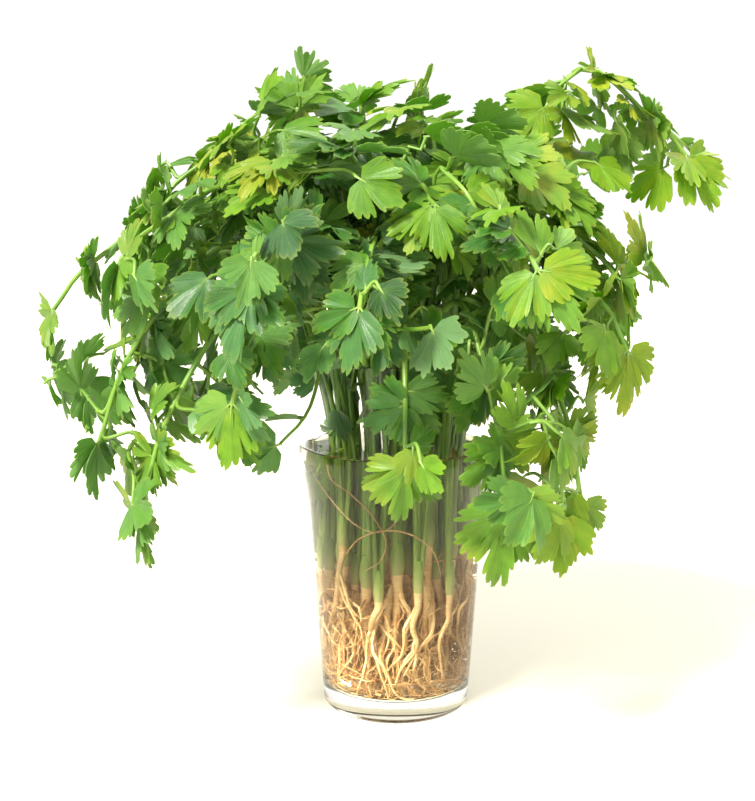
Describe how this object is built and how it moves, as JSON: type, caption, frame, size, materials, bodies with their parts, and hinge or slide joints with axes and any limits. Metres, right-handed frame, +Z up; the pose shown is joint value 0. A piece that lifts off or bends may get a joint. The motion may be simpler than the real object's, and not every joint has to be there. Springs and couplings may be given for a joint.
{
  "type": "coriander bunch",
  "caption": "Fresh coriander with its roots on, standing in a clear glass tumbler of water, its leafy stalks arching over the rim.",
  "frame": {"origin": "centre of the tumbler's flat underside, on the surface that it stands on", "axes": "+Z up along the tumbler's axis; -Y towards the side that the picture shows; +X to the right of that view"},
  "size_m": [0.2902, 0.2244, 0.2765],
  "materials": {
    "clear_glass": "polished",
    "water": "polished",
    "leaf_green": "satin",
    "root_tan": "matte"
  },
  "bodies": {
    "root": {"glass": "clear_glass", "water": "water", "plant_centre": "leaf_green", "plant_inner_030": "leaf_green", "plant_inner_090": "leaf_green", "plant_inner_150": "leaf_green", "plant_inner_210": "leaf_green", "plant_inner_270": "leaf_green", "plant_inner_330": "leaf_green", "plant_outer_000": "leaf_green", "plant_outer_030": "leaf_green", "plant_outer_060": "leaf_green", "plant_outer_090": "leaf_green", "plant_outer_120": "leaf_green", "plant_outer_150": "leaf_green", "plant_outer_180": "leaf_green", "plant_outer_210": "leaf_green", "plant_outer_240": "leaf_green", "plant_outer_270": "leaf_green", "plant_outer_300": "leaf_green", "plant_outer_330": "leaf_green", "root_centre": "root_tan", "root_inner_030": "root_tan", "root_inner_090": "root_tan", "root_inner_150": "root_tan", "root_inner_210": "root_tan", "root_inner_270": "root_tan", "root_inner_330": "root_tan", "root_outer_000": "root_tan", "root_outer_030": "root_tan", "root_outer_060": "root_tan", "root_outer_090": "root_tan", "root_outer_120": "root_tan", "root_outer_150": "root_tan", "root_outer_180": "root_tan", "root_outer_210": "root_tan", "root_outer_240": "root_tan", "root_outer_270": "root_tan", "root_outer_300": "root_tan", "root_outer_330": "root_tan"}
  },
  "joints": []
}
